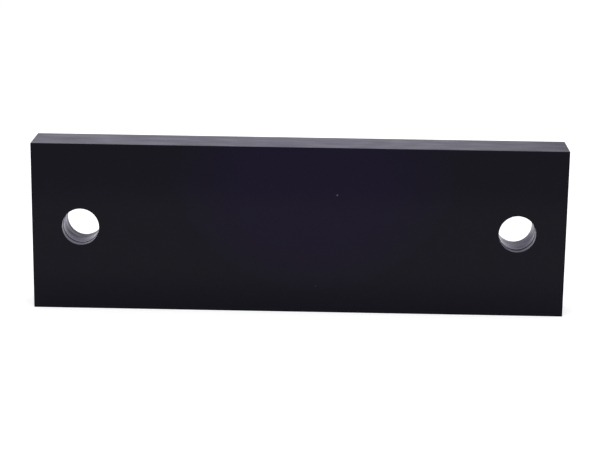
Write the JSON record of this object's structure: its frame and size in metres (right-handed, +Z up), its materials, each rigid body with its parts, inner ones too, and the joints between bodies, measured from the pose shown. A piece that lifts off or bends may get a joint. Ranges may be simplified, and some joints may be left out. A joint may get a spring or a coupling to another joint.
{
  "type": "mounting block",
  "caption": "Flat rectangular machined mounting block in black anodised aluminium, with countersunk through bores near its ends.",
  "frame": {"origin": "middle of the footprint, on the surface that the block stands on", "axes": "+X along the length, +Y through the thickness from the front broad face to the rear one, +Z up"},
  "size_m": [0.1396, 0.0126, 0.0444],
  "materials": {
    "black_anodised": "satin black anodised, as machined"
  },
  "bodies": {
    "root": {"mounting_block": "black_anodised"}
  },
  "joints": []
}
